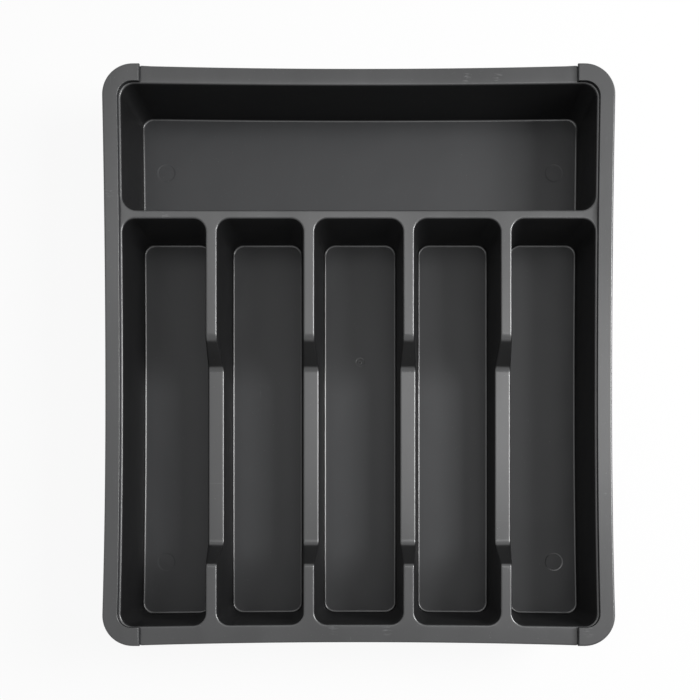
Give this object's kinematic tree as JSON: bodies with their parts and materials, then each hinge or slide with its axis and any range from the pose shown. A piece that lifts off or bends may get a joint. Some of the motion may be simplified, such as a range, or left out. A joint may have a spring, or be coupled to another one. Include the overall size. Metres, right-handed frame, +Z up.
{
  "type": "drawer organizer",
  "caption": "Expandable plastic cutlery tray for a drawer: pockets with lowered dividers, over side trays that slide out from under both ends.",
  "frame": {"origin": "on the surface that the feet stand on, under the middle of the closed outline", "axes": "+Z up, +Y towards the back of the drawer where the wide pocket lies, +X to the right; the side trays slide out along -X and +X"},
  "size_m": [0.3222, 0.3658, 0.0539],
  "materials": {
    "tray_plastic": "satin charcoal, moulded",
    "stud_plastic": "satin black, moulded",
    "foot_rubber": "matte black"
  },
  "bodies": {
    "centre": {"centre_tray": "tray_plastic", "slide_stud_left_front": "stud_plastic", "slide_stud_left_back": "stud_plastic", "slide_stud_right_front": "stud_plastic", "slide_stud_right_back": "stud_plastic", "foot_centre_front": "foot_rubber", "foot_centre_back": "foot_rubber"},
    "left": {"left_side_tray": "tray_plastic", "foot_left_front": "foot_rubber", "foot_left_back": "foot_rubber"},
    "right": {"right_side_tray": "tray_plastic", "foot_right_front": "foot_rubber", "foot_right_back": "foot_rubber"}
  },
  "joints": [
    {"name": "left_slide", "type": "slide", "parent": "centre", "child": "left", "axis": [-1, 0, 0], "range_m": [0, 0.103]},
    {"name": "right_slide", "type": "slide", "parent": "centre", "child": "right", "axis": [1, 0, 0], "range_m": [0, 0.103]}
  ]
}
